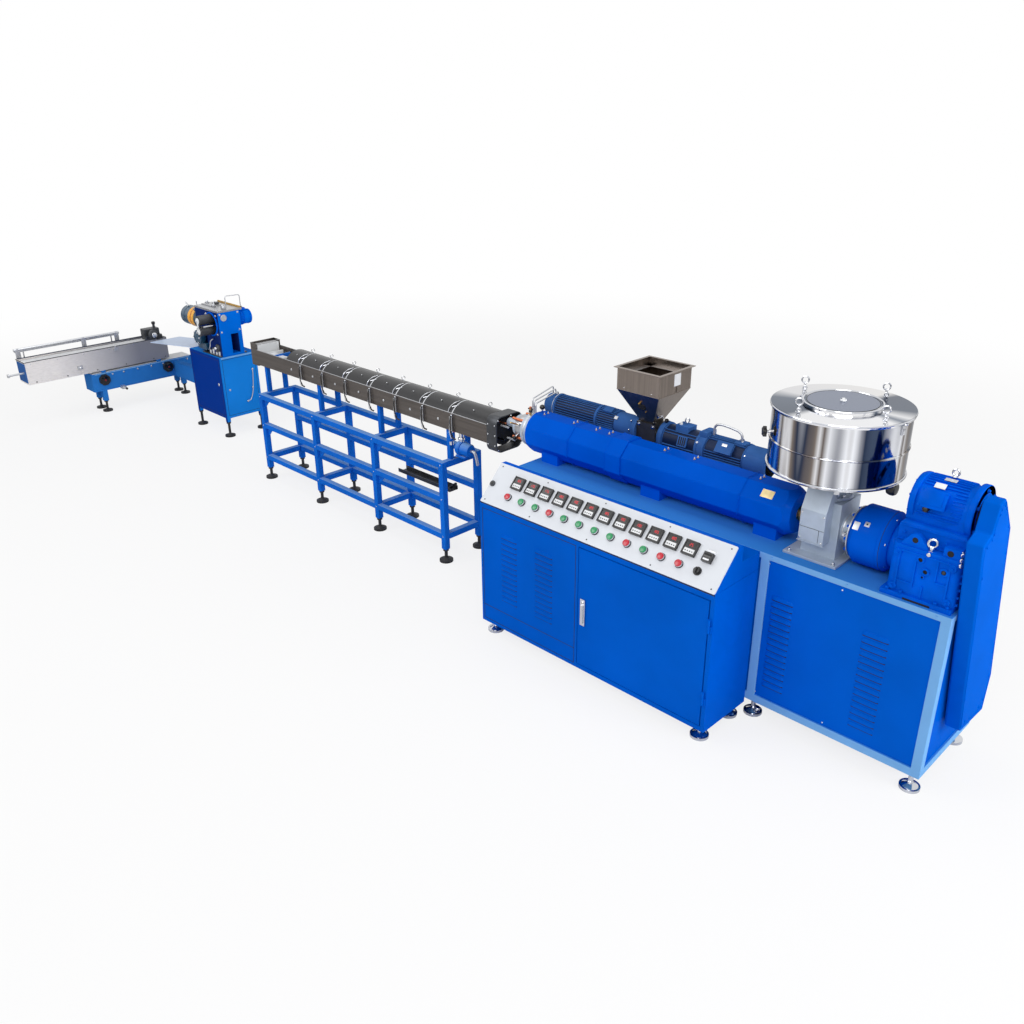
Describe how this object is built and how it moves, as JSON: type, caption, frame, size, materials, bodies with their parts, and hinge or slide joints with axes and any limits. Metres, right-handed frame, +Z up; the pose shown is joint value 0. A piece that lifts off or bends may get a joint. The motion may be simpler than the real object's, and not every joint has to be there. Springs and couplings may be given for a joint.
{
  "type": "plastic tube extrusion line",
  "caption": "Plastic tube extrusion line with screw extruder, side extruder, hoppers, cooling trough, haul-off and collecting conveyor.",
  "frame": {"origin": "centre of the line's plan at floor level", "axes": "+X along the line from the collecting conveyor to the gearbox, +Y from the operator's side to the back, +Z up"},
  "size_m": [8.211, 1.727, 1.6405],
  "materials": {
    "cabinet_blue": "semi-gloss enamel, mid blue",
    "deep_blue": "gloss enamel, strong blue",
    "pale_blue": "semi-gloss enamel, pale sky blue",
    "slate_blue": "gloss enamel, slate blue",
    "stand_blue": "gloss enamel, bright blue",
    "white_panel": "satin white",
    "bright_steel": "mirror-polished stainless steel",
    "brushed": "brushed stainless steel",
    "brown_steel": "brown-grey brushed stainless steel",
    "dark_steel": "dark steel",
    "cast_grey": "matte cast grey",
    "brass": "brushed",
    "black_cover": "satin black",
    "black_plastic": "gloss black",
    "red_plastic": "gloss red",
    "green_plastic": "gloss green",
    "rubber": "matte black"
  },
  "bodies": {
    "line": {"control_cabinet": "cabinet_blue", "control_console": "cabinet_blue", "control_panel": "white_panel", "temperature_controllers": "black_plastic", "red_buttons": "red_plastic", "green_buttons": "green_plastic", "rotary_switches": "black_plastic", "cabinet_feet": "bright_steel", "base_frame": "pale_blue", "base_panels": "cabinet_blue", "base_feet": "bright_steel", "barrel_cover_front": "deep_blue", "barrel_cover_middle": "deep_blue", "barrel_cover_rear": "deep_blue", "barrel_supports": "deep_blue", "screw_collar": "brass", "bed_plate": "cast_grey", "feed_throat": "cast_grey", "coupling_guard": "deep_blue", "gearbox_housing": "deep_blue", "drive_motor": "deep_blue", "belt_guard": "deep_blue", "tank_floor": "bright_steel", "tank_wall": "bright_steel", "tank_lid": "bright_steel", "tank_eyebolts": "bright_steel", "side_barrel": "slate_blue", "side_throat": "dark_steel", "side_motor": "slate_blue", "side_supports": "slate_blue", "side_hopper": "brushed", "die_head": "cast_grey", "die_rods": "brushed", "die_pipes": "brushed", "trough_channel": "brown_steel", "trough_end_box": "brown_steel", "trough_collar": "dark_steel", "trough_covers": "black_cover", "trough_hoops": "brushed", "stand_front_side": "stand_blue", "stand_back_side": "stand_blue", "stand_cross_members": "stand_blue", "stand_feet": "rubber", "puller_cabinet": "stand_blue", "puller_feet": "rubber", "puller_head": "deep_blue", "puller_rollers": "bright_steel", "head_motor": "deep_blue", "head_top_plate": "brushed", "puller_motor": "slate_blue", "air_pipes": "brushed", "conveyor_beam": "stand_blue", "conveyor_pulley_covers": "black_cover", "conveyor_feet": "rubber", "collecting_trough": "brushed", "collecting_handle": "brushed", "guide_rail": "brushed", "discharge_chute": "stand_blue"},
    "door": {"cabinet_door": "cabinet_blue", "door_handle": "bright_steel"}
  },
  "joints": [
    {"name": "cabinet_door_hinge", "type": "hinge", "parent": "line", "child": "door", "pos_m": [3.1595, -0.3165, 0.431], "axis": [0, 0, 1], "range_deg": [0, 110]}
  ]
}
